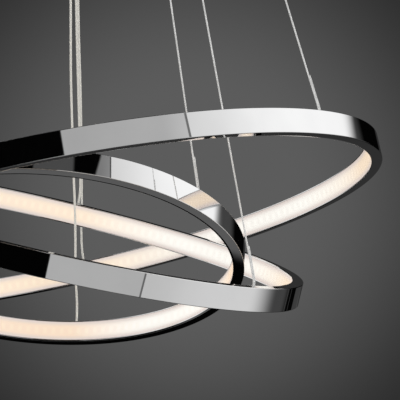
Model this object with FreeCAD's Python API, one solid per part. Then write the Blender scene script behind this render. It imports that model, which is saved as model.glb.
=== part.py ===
import FreeCAD, Part
import math
import os

# Three tilted light rings hung one inside the other from a round ceiling canopy.
# Millimetres. +Z is up. The origin is the centre of the canopy's ceiling face: everything hangs below it.

V = FreeCAD.Vector
UP = V(0, 0, 1)
RINGS = ("outer", "middle", "inner")
SIDES = ("a", "b")

# Rings: size, height below the ceiling, and lean. A ring's upward normal leans towards LEAN_AZIMUTH.
RING_RADIUS = {"outer": 300.0, "middle": 230.0, "inner": 175.0}
RING_DROP = {"outer": 812.0, "middle": 820.5, "inner": 838.0}
LEAN_AZIMUTH = {"outer": 139.0, "middle": -20.4, "inner": 85.0}
LEAN_ANGLE = {"outer": 16.0, "middle": 14.1, "inner": 27.2}

# The U-section that each ring is rolled from, open towards the ring's centre
PROFILE_HEIGHT = 20.5
PROFILE_WIDTH = 10.0
PROFILE_WALL = 1.2
PROFILE_EDGE = 0.6

# What lies in the U: the light strip on the outer wall and the opal strip that closes the mouth
STRIP_HEIGHT = 10.0
STRIP_THICKNESS = 1.0
DIFFUSER_THICKNESS = 1.8
DIFFUSER_SETBACK = 0.3
SPLICE_LENGTH = 60.0
SPLICE_THICKNESS = 1.0
SPLICE_TURN = 25.0

# Where each ring hangs, as turns about its own axis. Steel rope b is ROPE_SPREAD back from rope a.
ROPE_ANGLE = {"outer": -34.3, "middle": -35.2, "inner": -38.6}
CORD_ANGLE = {"outer": 86.8, "middle": 86.6, "inner": 83.0}
ROPE_SPREAD = 120.0

# Steel ropes. Each ends in a clamp inside the ring, and its tail comes back up beside it.
ROPE_DIAMETER = 1.5
ROPE_STRAND_GAP = 0.25
ROPE_BEND_RADIUS = 8.0
ROPE_TAIL = {"outer": 29.0, "middle": 31.0, "inner": 28.0}
ROPE_BEND_RISE = 3.0
ROPE_HOLE_PLAY = 0.25
CLAMP_LENGTH = 9.0
CLAMP_PLAY = 0.35
CLAMP_HEIGHT = 6.0
CLAMP_SCREW_DIAMETER = 3.0

# Supply cords, with the bushing in each ring's top wall
CORD_DIAMETER = 2.2
CORD_END_DEPTH = 4.0
CORD_BEND_RISE = 9.0
BUSHING_WALL = 1.0
BUSHING_FLANGE = 1.0
BUSHING_FLANGE_THICKNESS = 0.8

# Canopy: the cup that shows, and the plate screwed to the ceiling
CANOPY_RADIUS = 110.0
CANOPY_HEIGHT = 45.0
CANOPY_WALL = 1.2
CANOPY_EDGE = 4.0
CANOPY_CEILING_GAP = 0.3
PLATE_THICKNESS = 2.0
PLATE_CLEARANCE = 0.5
CABLE_ENTRY_RADIUS = 10.0
CEILING_HOLE_RADIUS = 2.75
CEILING_HOLE_CIRCLE = 130.0
CEILING_HOLE_COUNT = 4
TAB_DEPTH = 14.0
TAB_TURN = 8.0
TAB_COUNT = 3
TAB_FIRST_AZIMUTH = 20.0
SIDE_SCREW_DIAMETER = 3.9
SIDE_SCREW_HEAD = 8.0
SIDE_SCREW_HEAD_THICKNESS = 2.4
SIDE_SCREW_DROP = 10.0
SIDE_SCREW_PLAY = 0.25
SIDE_SCREW_POINT = 2.0

# Rope grippers under the canopy: a body, a nose screwed to it, and a sprung release sleeve
GRIPPER_CIRCLE = 45.0
GRIPPER_AZIMUTH = {"outer": -17.0, "middle": -32.0, "inner": -47.0}
GRIPPER_DIAMETER = 9.4
GRIPPER_LENGTH = 12.0
GRIPPER_NECK_DIAMETER = 6.0
GRIPPER_NECK_LENGTH = 6.0
GRIPPER_CHAMBER_DIAMETER = 6.2
GRIPPER_CHAMBER_LENGTH = 9.0
NOSE_LENGTH = 4.0
NOSE_TIP_DIAMETER = 6.2
NECK_HOLE_PLAY = 0.1
NUT_ACROSS_FLATS = 10.0
NUT_THICKNESS = 4.0
ROPE_BORE_PLAY = 0.2
ROPE_CLAMP_DEPTH = 5.0
ROPE_STUB_TOP = 10.0

# The sleeve that is pushed up to let a rope run
SLEEVE_WALL = 1.2
SLEEVE_PLAY = 0.08
SLEEVE_PROJECTION = 4.5
SLEEVE_COLLAR_PLAY = 0.25
SLEEVE_COLLAR_THICKNESS = 1.5
SLEEVE_STOP_GAP = 0.1
SPRING_WALL = 0.5
SPRING_PLAY = 0.3

# Cord glands: one row under the canopy, nearest the centre first
GLAND_AZIMUTH = 70.5
GLAND_CIRCLE = {"outer": 57.0, "middle": 45.0, "inner": 33.0}
GLAND_DIAMETER = 8.4
GLAND_LENGTH = 8.0
GLAND_EDGE = 1.5
CORD_TOP_IN_GLAND = 2.0
CORD_STRAIGHT_BELOW_GLAND = 20.0

# Driver: a closed case on the plate, with its board
DRIVER_LENGTH = 100.0
DRIVER_WIDTH = 36.0
DRIVER_HEIGHT = 22.0
DRIVER_WALL = 1.5
DRIVER_RIM_GAP = 5.0
DRIVER_EDGE = 2.0
DRIVER_EAR = 9.0
DRIVER_EAR_WIDTH = 12.0
DRIVER_EAR_THICKNESS = 2.0
DRIVER_SCREW_DIAMETER = 3.0
DRIVER_SCREW_HEAD = 5.6
DRIVER_SCREW_HEAD_THICKNESS = 1.8
DRIVER_LEAD_HOLE_PLAY = 0.3
BOARD_MARGIN = 2.0
BOARD_THICKNESS = 1.6
BOARD_HEIGHT = 15.0
POST_DIAMETER = 5.0
BOARD_PARTS_GAP = 1.5
TRANSFORMER_LENGTH = 24.0
TRANSFORMER_WIDTH = 20.0
CAPACITOR_DIAMETER = 10.0

# Terminal block and leads inside the canopy
TERMINAL_POLES = 3
TERMINAL_PITCH = 10.0
TERMINAL_DEPTH = 16.0
TERMINAL_HEIGHT = 14.0
TERMINAL_X = -62.0
TERMINAL_Y = 30.0
TERMINAL_WIRE_PLAY = 0.2
TERMINAL_SCREW_DIAMETER = 3.2
LEAD_DIAMETER = 3.2
LEAD_DEPTH = 11.0
LEAD_BEND = 30.0
LEAD_RIM_GAP = 4.0
OUTPUT_LEAD_DEPTH = 15.0
OUTPUT_LEAD_REACH = 16.0
OUTPUT_LEAD_PITCH = 4.0
EARTH_SCREW_DIAMETER = 4.0
EARTH_SCREW_HEAD = 7.5
EARTH_SCREW_X = -30.0
EARTH_SCREW_Y = 62.0
EARTH_SCREW_LENGTH = 3.0

# The supply cords hang nearly straight: how far along the hanging stretch each point is,
# and how far it stands off the straight line, across the view and in depth
CORD_SWAY = {
    "outer": ((0.06, 0.5, 0.1), (0.13, 1.1, 0.3), (0.20, 1.3, 0.4), (0.27, 1.0, 0.3), (0.34, 0.4, 0.1),
              (0.41, -0.3, -0.2), (0.48, -0.8, -0.4), (0.55, -1.1, -0.4), (0.61, -0.9, -0.2),
              (0.67, -0.5, 0.1), (0.73, -0.1, 0.3), (0.79, 0.8, 0.4), (0.85, 0.9, 0.3),
              (0.90, 0.8, 0.1), (0.94, 0.5, -0.1), (0.97, -0.5, -0.1)),
    "middle": ((0.06, -0.4, 0.2), (0.13, -0.9, 0.4), (0.20, -1.1, 0.4), (0.27, -0.9, 0.2),
               (0.34, -0.4, 0.0), (0.41, 0.2, -0.2), (0.48, 0.6, -0.3), (0.55, 0.7, -0.3),
               (0.62, 0.3, -0.1), (0.69, -0.3, 0.1), (0.75, -0.5, 0.3), (0.81, -0.3, 0.3),
               (0.87, 0.1, 0.2), (0.92, 0.4, 0.0), (0.95, 0.6, -0.1), (0.975, 0.5, -0.1)),
    "inner": ((0.06, 0.4, -0.1), (0.13, 1.0, -0.3), (0.20, 1.2, -0.3), (0.27, 0.9, -0.1),
              (0.34, 0.3, 0.1), (0.41, -0.4, 0.3), (0.48, -0.7, 0.3), (0.55, -0.5, 0.2),
              (0.61, -0.1, 0.0), (0.67, -0.8, -0.2), (0.73, -1.8, -0.3), (0.78, -1.3, -0.3),
              (0.83, -1.0, -0.1), (0.88, -0.1, 0.1), (0.92, -0.3, 0.2), (0.955, -1.1, 0.1),
              (0.98, 0.1, 0.0)),
}


def arc_at(before, corner, after, reach):
    """The arc that leaves the corner out, touching both straights at reach from it."""
    back = (before - corner).normalize()
    ahead = (after - corner).normalize()
    half = back.getAngle(ahead) / 2
    middle_way = (back + ahead).normalize()
    radius = reach * math.tan(half)
    middle = corner + middle_way * (reach / math.cos(half) - radius)
    return corner + back * reach, middle, corner + ahead * reach, radius


def route_wire(points, edge_radius=None):
    """Straight runs joined by tangent arcs: as large as the runs allow, or bent over an edge's radius."""
    edges = []
    radii = []
    here = points[0]
    for before, corner, after in zip(points, points[1:], points[2:]):
        reach = 0.45 * min((before - corner).Length, (after - corner).Length)
        if edge_radius:
            reach = min(reach, edge_radius / math.tan((before - corner).getAngle(after - corner) / 2))
        start, middle, end, radius = arc_at(before, corner, after, reach)
        edges.append(Part.LineSegment(here, start).toShape())
        edges.append(Part.Arc(start, middle, end).toShape())
        radii.append(radius)
        here = end
    edges.append(Part.LineSegment(here, points[-1]).toShape())
    return Part.Wire(edges), radii


def tube(points, diameter, label, edge_radius=None):
    """A round cord along the points. Prints its least bend radius and how its volume compares."""
    wire, radii = route_wire(points, edge_radius)
    start_way = (points[1] - points[0]).normalize()
    circle = Part.Wire([Part.Circle(points[0], start_way, diameter / 2).toShape()])
    solid = wire.makePipeShell([circle], True, True)
    expected = math.pi * (diameter / 2) ** 2 * wire.Length
    smallest = min(radii) if radii else 0.0
    print(label, "length %.1f" % wire.Length, "least radius %.1f" % smallest,
          "volume ratio %.4f" % (solid.Volume / expected))
    return solid


def turned(corners, turn=360.0):
    """Revolve a closed section about Z. Each corner is (radius, height, corner rounding)."""
    points = [V(radius, 0, height) for radius, height, _ in corners]
    edges = []
    joints = []
    for index, (_, _, rounding) in enumerate(corners):
        before, corner = points[index - 1], points[index]
        after = points[(index + 1) % len(points)]
        if rounding > 0:
            half = (before - corner).getAngle(after - corner) / 2
            start, middle, end, _ = arc_at(before, corner, after, rounding / math.tan(half))
            edges.append(Part.Arc(start, middle, end).toShape())
            joints.append((start, end))
        else:
            joints.append((corner, corner))
    for index, (_, end) in enumerate(joints):
        next_start = joints[(index + 1) % len(joints)][0]
        edges.append(Part.LineSegment(end, next_start).toShape())
    face = Part.Face(Part.Wire(Part.__sortEdges__(edges)))
    return face.revolve(V(0, 0, 0), UP, turn)


def sleeve(inner_radius, outer_radius, low, high):
    """A plain tube about Z."""
    return turned([(inner_radius, low, 0), (outer_radius, low, 0),
                   (outer_radius, high, 0), (inner_radius, high, 0)])


def rod(radius, low, high, x=0.0, y=0.0):
    """An upright cylinder."""
    return Part.makeCylinder(radius, high - low, V(x, y, low), UP)


def block(size_x, size_y, low, high, x=0.0, y=0.0):
    """An upright box, centred on x and y."""
    return Part.makeBox(size_x, size_y, high - low, V(x - size_x / 2, y - size_y / 2, low))


def hex_prism(across_flats, low, high):
    """A hexagon about Z."""
    reach = across_flats / math.sqrt(3)
    corners = [polar(reach, 60 * k, low) for k in range(7)]
    return Part.Face(Part.makePolygon(corners)).extrude(V(0, 0, high - low))


def about_z(shape, azimuth):
    """A copy turned about Z."""
    copy = shape.copy()
    copy.rotate(V(0, 0, 0), UP, azimuth)
    return copy


def at(shape, x, y):
    """A copy moved sideways."""
    copy = shape.copy()
    copy.translate(V(x, y, 0))
    return copy


def polar(radius, azimuth, height=0.0):
    """A point from its distance to the axis and its azimuth in degrees."""
    turn = math.radians(azimuth)
    return V(radius * math.cos(turn), radius * math.sin(turn), height)


def ring_placement(ring):
    """Puts a ring, drawn level about the origin, at its height and lean."""
    lean_axis = polar(1.0, LEAN_AZIMUTH[ring] + 90.0)
    return FreeCAD.Placement(V(0, 0, -RING_DROP[ring]), FreeCAD.Rotation(lean_axis, LEAN_ANGLE[ring]))


def leaned(ring, shape):
    """A copy of a level shape, put where its ring is."""
    copy = shape.copy()
    copy.transformShape(ring_placement(ring).toMatrix())
    return copy


def rope_turns(ring):
    """Where the two steel ropes meet a ring."""
    return {"a": ROPE_ANGLE[ring], "b": ROPE_ANGLE[ring] - ROPE_SPREAD}


def gripper_place(ring, side):
    """Where a rope's gripper is under the canopy."""
    azimuth = GRIPPER_AZIMUTH[ring] - (ROPE_SPREAD if side == "b" else 0.0)
    return polar(GRIPPER_CIRCLE, azimuth)


def gland_place(ring):
    """Where a cord's gland is under the canopy."""
    return polar(GLAND_CIRCLE[ring], GLAND_AZIMUTH)


# ---- the rings ----

PROFILE_TOP = PROFILE_HEIGHT / 2
INSIDE_TOP = PROFILE_TOP - PROFILE_WALL
# From the outer face inwards: the strip's front, the diffuser's back, and the free space between them
STRIP_FRONT = PROFILE_WALL + STRIP_THICKNESS
DIFFUSER_BACK = PROFILE_WIDTH - DIFFUSER_SETBACK - DIFFUSER_THICKNESS
HANG_INSET = (STRIP_FRONT + DIFFUSER_BACK) / 2
CLAMP_WIDTH = DIFFUSER_BACK - STRIP_FRONT - 2 * CLAMP_PLAY
ROPE_HOLE_RADIUS = ROPE_DIAMETER / 2 + ROPE_HOLE_PLAY
STRAND_SPACING = ROPE_DIAMETER + ROPE_STRAND_GAP
BUSHING_RADIUS = CORD_DIAMETER / 2 + BUSHING_WALL


def rope_slot(middle, low, high):
    """Cutter for the slot that a rope and its tail pass side by side, at the azimuth of +X."""
    slot = block(2 * ROPE_HOLE_RADIUS, STRAND_SPACING, low, high, middle)
    for y in (-STRAND_SPACING / 2, STRAND_SPACING / 2):
        slot = slot.fuse(rod(ROPE_HOLE_RADIUS, low, high, middle, y))
    return slot


def channel(ring):
    """The U-section, rolled to a ring, with the rope holes and the cord hole in its top wall."""
    outside = RING_RADIUS[ring]
    mouth = outside - PROFILE_WIDTH
    back = outside - PROFILE_WALL
    lip = PROFILE_WALL / 4
    shape = turned([
        (mouth, -PROFILE_TOP, lip), (outside, -PROFILE_TOP, PROFILE_EDGE),
        (outside, PROFILE_TOP, PROFILE_EDGE), (mouth, PROFILE_TOP, lip),
        (mouth, INSIDE_TOP, lip), (back, INSIDE_TOP, 0),
        (back, -INSIDE_TOP, 0), (mouth, -INSIDE_TOP, lip)])
    for turn in rope_turns(ring).values():
        shape = shape.cut(about_z(rope_slot(outside - HANG_INSET, INSIDE_TOP - 1, PROFILE_TOP + 1), turn))
    hole = polar(outside - HANG_INSET, CORD_ANGLE[ring])
    shape = shape.cut(rod(BUSHING_RADIUS, INSIDE_TOP - 1, PROFILE_TOP + 1, hole.x, hole.y))
    return leaned(ring, shape)


def diffuser(ring):
    """The opal strip that closes the U's mouth, a little back from the lips."""
    front = RING_RADIUS[ring] - PROFILE_WIDTH + DIFFUSER_SETBACK
    return leaned(ring, sleeve(front, front + DIFFUSER_THICKNESS, -INSIDE_TOP, INSIDE_TOP))


def led_strip(ring):
    """The flexible board with its row of light chips, stuck to the outer wall."""
    back = RING_RADIUS[ring] - PROFILE_WALL
    return leaned(ring, sleeve(back - STRIP_THICKNESS, back, -STRIP_HEIGHT / 2, STRIP_HEIGHT / 2))


def splice_plate(ring):
    """The curved plate that ties the ring's two rolled ends, on the bottom wall."""
    middle = RING_RADIUS[ring] - HANG_INSET
    inner, outer = middle - CLAMP_WIDTH / 2, middle + CLAMP_WIDTH / 2
    turn = math.degrees(SPLICE_LENGTH / middle)
    section = [(inner, -INSIDE_TOP, 0), (outer, -INSIDE_TOP, 0),
               (outer, SPLICE_THICKNESS - INSIDE_TOP, 0), (inner, SPLICE_THICKNESS - INSIDE_TOP, 0)]
    return leaned(ring, about_z(turned(section, turn), CORD_ANGLE[ring] + SPLICE_TURN))


def rope_clamps(ring):
    """Two blocks under the top wall, each bored for a rope and its tail, with a screw hole from inside."""
    clamps = []
    for turn in rope_turns(ring).values():
        middle = RING_RADIUS[ring] - HANG_INSET
        clamp = block(CLAMP_WIDTH, CLAMP_LENGTH, INSIDE_TOP - CLAMP_HEIGHT, INSIDE_TOP, middle)
        clamp = clamp.cut(rope_slot(middle, INSIDE_TOP - CLAMP_HEIGHT - 1, INSIDE_TOP + 1))
        start = V(middle - CLAMP_WIDTH / 2 - 1, 0, INSIDE_TOP - CLAMP_HEIGHT / 2)
        screw_hole = Part.makeCylinder(CLAMP_SCREW_DIAMETER / 2, CLAMP_WIDTH / 2 + 1, start, V(1, 0, 0))
        clamps.append(leaned(ring, about_z(clamp.cut(screw_hole), turn)))
    return Part.makeCompound(clamps)


def clamp_screws(ring):
    """The grub screws that press the ropes in their clamps."""
    screws = []
    for turn in rope_turns(ring).values():
        middle = RING_RADIUS[ring] - HANG_INSET
        start = middle - CLAMP_WIDTH / 2
        screw = Part.makeCylinder(CLAMP_SCREW_DIAMETER / 2, CLAMP_WIDTH / 2 - ROPE_DIAMETER / 2,
                                  V(start, 0, INSIDE_TOP - CLAMP_HEIGHT / 2), V(1, 0, 0))
        screws.append(leaned(ring, about_z(screw, turn)))
    return Part.makeCompound(screws)


def cord_bushing(ring):
    """The flanged bushing that the supply cord goes through."""
    bore = CORD_DIAMETER / 2
    flange = BUSHING_RADIUS + BUSHING_FLANGE
    flange_top = PROFILE_TOP + BUSHING_FLANGE_THICKNESS
    shape = turned([(bore, INSIDE_TOP, 0), (BUSHING_RADIUS, INSIDE_TOP, 0),
                    (BUSHING_RADIUS, PROFILE_TOP, 0), (flange, PROFILE_TOP, 0),
                    (flange, flange_top, BUSHING_FLANGE_THICKNESS / 2), (bore, flange_top, 0)])
    place = polar(RING_RADIUS[ring] - HANG_INSET, CORD_ANGLE[ring])
    return leaned(ring, at(shape, place.x, place.y))


# ---- ropes and cords ----

COVER_UNDERSIDE = -CANOPY_HEIGHT
COVER_FLOOR = COVER_UNDERSIDE + CANOPY_WALL
GRIPPER_BOTTOM = COVER_UNDERSIDE - GRIPPER_LENGTH
NOSE_BOTTOM = GRIPPER_BOTTOM - NOSE_LENGTH
SLEEVE_BOTTOM = NOSE_BOTTOM - SLEEVE_PROJECTION
ROPE_TOP = COVER_UNDERSIDE - ROPE_CLAMP_DEPTH + ROPE_STUB_TOP
ROPE_BEND_HEIGHT = SLEEVE_BOTTOM - 2 * ROPE_DIAMETER


def rope_route(ring, side, strand):
    """A strand's points from inside the ring's clamp upwards. strand is -1 for the rope, +1 for its tail."""
    turn = rope_turns(ring)[side]
    across = polar(strand * STRAND_SPACING / 2, turn + 90.0)
    placement = ring_placement(ring)
    hole = polar(RING_RADIUS[ring] - HANG_INSET, turn)
    low = placement.multVec(hole + across + V(0, 0, INSIDE_TOP - CLAMP_HEIGHT))
    bend = placement.multVec(hole + across + V(0, 0, PROFILE_TOP + ROPE_BEND_RISE))
    top = gripper_place(ring, side)
    return low, bend, V(top.x, top.y, ROPE_BEND_HEIGHT)


def rope(ring, side):
    """A steel rope: pulled straight from the ring to its gripper, with the tail beside its lower end."""
    low, bend, high = rope_route(ring, side, -1)
    name = ring + " " + side
    top = V(high.x, high.y, ROPE_TOP)
    main = tube([low, bend, high, top], ROPE_DIAMETER, "rope " + name, ROPE_BEND_RADIUS)
    tail_low, tail_bend, _ = rope_route(ring, side, 1)
    tail_end = tail_bend + (high - bend).normalize() * ROPE_TAIL[ring]
    tail = tube([tail_low, tail_bend, tail_end], ROPE_DIAMETER, "tail " + name, ROPE_BEND_RADIUS)
    return Part.makeCompound([main, tail])


def cord_route(ring):
    """The supply cord's points from its gland down to the end inside the ring."""
    gland = gland_place(ring)
    placement = ring_placement(ring)
    hole = polar(RING_RADIUS[ring] - HANG_INSET, CORD_ANGLE[ring])
    first = V(gland.x, gland.y, COVER_UNDERSIDE - CORD_TOP_IN_GLAND)
    start = V(gland.x, gland.y, first.z - GLAND_LENGTH - CORD_STRAIGHT_BELOW_GLAND)
    end = placement.multVec(hole + V(0, 0, PROFILE_TOP + CORD_BEND_RISE))
    last = placement.multVec(hole + V(0, 0, INSIDE_TOP - CORD_END_DEPTH))
    swayed = [start + (end - start) * along + V(across, depth, 0)
              for along, across, depth in CORD_SWAY[ring]]
    return [first, start] + swayed + [end, last]


def supply_cord(ring):
    """The clear two-core cord that feeds a ring and carries its third corner."""
    return tube(cord_route(ring), CORD_DIAMETER, "cord " + ring)


# ---- grippers and glands ----

def at_grippers(shape):
    """A copy of the shape at each of the six grippers."""
    places = [gripper_place(ring, side) for ring in RINGS for side in SIDES]
    return Part.makeCompound([at(shape, place.x, place.y) for place in places])


def at_glands(shape):
    """A copy of the shape at each of the three glands."""
    places = [gland_place(ring) for ring in RINGS]
    return Part.makeCompound([at(shape, place.x, place.y) for place in places])


NECK_TOP = COVER_FLOOR + GRIPPER_NECK_LENGTH
CHAMBER_TOP = GRIPPER_BOTTOM + GRIPPER_CHAMBER_LENGTH
ROPE_BORE_RADIUS = ROPE_DIAMETER / 2 + ROPE_BORE_PLAY
SLEEVE_RADIUS = ROPE_BORE_RADIUS + SLEEVE_WALL
NOSE_BORE_RADIUS = SLEEVE_RADIUS + SLEEVE_PLAY
COLLAR_BOTTOM = GRIPPER_BOTTOM + SLEEVE_STOP_GAP
COLLAR_TOP = COLLAR_BOTTOM + SLEEVE_COLLAR_THICKNESS


def gripper_bodies():
    """Six turned bodies, necks up through the cover, each with a chamber for the spring."""
    outer = GRIPPER_DIAMETER / 2
    neck = GRIPPER_NECK_DIAMETER / 2
    chamber = GRIPPER_CHAMBER_DIAMETER / 2
    return at_grippers(turned([
        (chamber, GRIPPER_BOTTOM, 0), (outer, GRIPPER_BOTTOM, 0), (outer, COVER_UNDERSIDE, 0.5),
        (neck, COVER_UNDERSIDE, 0), (neck, NECK_TOP, 0.4), (ROPE_BORE_RADIUS, NECK_TOP, 0),
        (ROPE_BORE_RADIUS, CHAMBER_TOP, 0), (chamber, CHAMBER_TOP, 0)]))


def gripper_noses():
    """Six tapered noses that close the chambers and guide the release sleeves."""
    outer = GRIPPER_DIAMETER / 2
    return at_grippers(turned([
        (NOSE_BORE_RADIUS, NOSE_BOTTOM, 0), (NOSE_TIP_DIAMETER / 2, NOSE_BOTTOM, 0.3),
        (outer, GRIPPER_BOTTOM - NOSE_LENGTH / 3, 0.3), (outer, GRIPPER_BOTTOM, 0),
        (NOSE_BORE_RADIUS, GRIPPER_BOTTOM, 0)]))


def neck_nut():
    """The hexagon nut that holds a neck to the cover."""
    nut = hex_prism(NUT_ACROSS_FLATS, COVER_FLOOR, COVER_FLOOR + NUT_THICKNESS)
    return nut.cut(rod(GRIPPER_NECK_DIAMETER / 2, COVER_FLOOR - 1, COVER_FLOOR + NUT_THICKNESS + 1))


def release_sleeve(ring, side):
    """The sleeve round the rope: pushed up, it frees the grip."""
    bore = ROPE_BORE_RADIUS
    collar = GRIPPER_CHAMBER_DIAMETER / 2 - SLEEVE_COLLAR_PLAY
    shape = turned([
        (bore, SLEEVE_BOTTOM, SLEEVE_WALL / 6), (SLEEVE_RADIUS, SLEEVE_BOTTOM, SLEEVE_WALL / 3),
        (SLEEVE_RADIUS, COLLAR_BOTTOM, 0),
        (collar, COLLAR_BOTTOM, 0), (collar, COLLAR_TOP, 0), (bore, COLLAR_TOP, 0)])
    place = gripper_place(ring, side)
    return at(shape, place.x, place.y)


def sleeve_spring(ring, side):
    """The spring's outer form, from the sleeve's collar to the chamber's end."""
    outer = GRIPPER_CHAMBER_DIAMETER / 2 - SPRING_PLAY
    place = gripper_place(ring, side)
    return at(sleeve(outer - SPRING_WALL, outer, COLLAR_TOP, CHAMBER_TOP), place.x, place.y)


def cord_glands():
    """Three round glands, necks up through the cover."""
    bore = CORD_DIAMETER / 2
    outer = GLAND_DIAMETER / 2
    neck = GRIPPER_NECK_DIAMETER / 2
    bottom = COVER_UNDERSIDE - GLAND_LENGTH
    return at_glands(turned([
        (bore, bottom, 0), (outer, bottom, GLAND_EDGE), (outer, COVER_UNDERSIDE, 0),
        (neck, COVER_UNDERSIDE, 0), (neck, NECK_TOP, 0.4), (bore, NECK_TOP, 0)]))


# ---- canopy ----

def canopy_cover():
    """The spun cup that hides the works, with its neck holes and side screw holes."""
    inside = CANOPY_RADIUS - CANOPY_WALL
    shape = turned([
        (0, COVER_UNDERSIDE, 0), (CANOPY_RADIUS, COVER_UNDERSIDE, CANOPY_EDGE),
        (CANOPY_RADIUS, -CANOPY_CEILING_GAP, 0), (inside, -CANOPY_CEILING_GAP, 0),
        (inside, COVER_FLOOR, CANOPY_EDGE - CANOPY_WALL), (0, COVER_FLOOR, 0)])
    neck_hole = rod(GRIPPER_NECK_DIAMETER / 2 + NECK_HOLE_PLAY, COVER_UNDERSIDE - 1, COVER_FLOOR + 1)
    shape = shape.cut(at_grippers(neck_hole)).cut(at_glands(neck_hole))
    return shape.cut(side_holes(SIDE_SCREW_DIAMETER / 2 + SIDE_SCREW_PLAY))


def tab_azimuths():
    """Where the plate's tabs and the side screws are."""
    return [TAB_FIRST_AZIMUTH + 360.0 * k / TAB_COUNT for k in range(TAB_COUNT)]


def side_holes(radius):
    """Cutters through the tabs and the cover's side."""
    reach = CANOPY_RADIUS / 2
    hole = Part.makeCylinder(radius, reach, V(CANOPY_RADIUS - reach / 2, 0, -SIDE_SCREW_DROP), V(1, 0, 0))
    return Part.makeCompound([about_z(hole, azimuth) for azimuth in tab_azimuths()])


def ceiling_plate():
    """The pressed plate on the ceiling, with three tabs turned down for the side screws."""
    rim = CANOPY_RADIUS - CANOPY_WALL - PLATE_CLEARANCE
    shape = sleeve(CABLE_ENTRY_RADIUS, rim, -PLATE_THICKNESS, 0)
    low, high = -PLATE_THICKNESS - TAB_DEPTH, -PLATE_THICKNESS / 2
    tab = turned([(rim - PLATE_THICKNESS, low, 0), (rim, low, 0),
                  (rim, high, 0), (rim - PLATE_THICKNESS, high, 0)], TAB_TURN)
    for azimuth in tab_azimuths():
        shape = shape.fuse(about_z(tab, azimuth - TAB_TURN / 2))
    shape = shape.cut(side_holes(SIDE_SCREW_DIAMETER / 2))
    for k in range(CEILING_HOLE_COUNT):
        hole = polar(CEILING_HOLE_CIRCLE / 2, 45.0 + 360.0 * k / CEILING_HOLE_COUNT)
        shape = shape.cut(rod(CEILING_HOLE_RADIUS, -PLATE_THICKNESS - 1, 1, hole.x, hole.y))
    for place in driver_screw_places():
        shape = shape.cut(rod(DRIVER_SCREW_DIAMETER / 2, -PLATE_THICKNESS - 1, 1, place.x, place.y))
    shape = shape.cut(rod(EARTH_SCREW_DIAMETER / 2, -PLATE_THICKNESS - 1, 1, EARTH_SCREW_X, EARTH_SCREW_Y))
    return shape.removeSplitter()


def cover_screws():
    """The side screws that hold the cover to the tabs."""
    start = TAB_INSIDE - SIDE_SCREW_POINT
    shank = Part.makeCylinder(SIDE_SCREW_DIAMETER / 2, CANOPY_RADIUS - start,
                              V(start, 0, -SIDE_SCREW_DROP), V(1, 0, 0))
    head = Part.makeCylinder(SIDE_SCREW_HEAD / 2, SIDE_SCREW_HEAD_THICKNESS,
                             V(CANOPY_RADIUS, 0, -SIDE_SCREW_DROP), V(1, 0, 0))
    rim = [edge for edge in head.Edges if edge.BoundBox.XMin > CANOPY_RADIUS + SIDE_SCREW_HEAD_THICKNESS / 2
           and edge.BoundBox.XLength < 0.01]
    screw = shank.fuse(head.makeFillet(SIDE_SCREW_HEAD_THICKNESS / 3, rim))
    return Part.makeCompound([about_z(screw, azimuth) for azimuth in tab_azimuths()])


# ---- driver, terminals and leads ----

PLATE_UNDERSIDE = -PLATE_THICKNESS
TAB_INSIDE = CANOPY_RADIUS - CANOPY_WALL - PLATE_CLEARANCE - PLATE_THICKNESS
# The driver stands as far out as its ears' corners let it
DRIVER_EAR_END = DRIVER_LENGTH / 2 + DRIVER_EAR
DRIVER_EAR_OUTSIDE = math.sqrt((TAB_INSIDE - DRIVER_RIM_GAP) ** 2 - DRIVER_EAR_END ** 2)
DRIVER_OFFSET = DRIVER_EAR_OUTSIDE - DRIVER_EAR_WIDTH / 2
DRIVER_BOTTOM = PLATE_UNDERSIDE - DRIVER_HEIGHT
DRIVER_ROOF = PLATE_UNDERSIDE - DRIVER_WALL
BOARD_TOP = PLATE_UNDERSIDE - BOARD_HEIGHT


def driver_screw_places():
    """The two ears' screw holes."""
    reach = DRIVER_LENGTH / 2 + DRIVER_EAR / 2
    return [V(-reach, -DRIVER_OFFSET, 0), V(reach, -DRIVER_OFFSET, 0)]


def lead_row(index):
    """How far an output lead is from the middle of the row, across the driver's end."""
    return (index - 1) * OUTPUT_LEAD_PITCH


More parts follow.
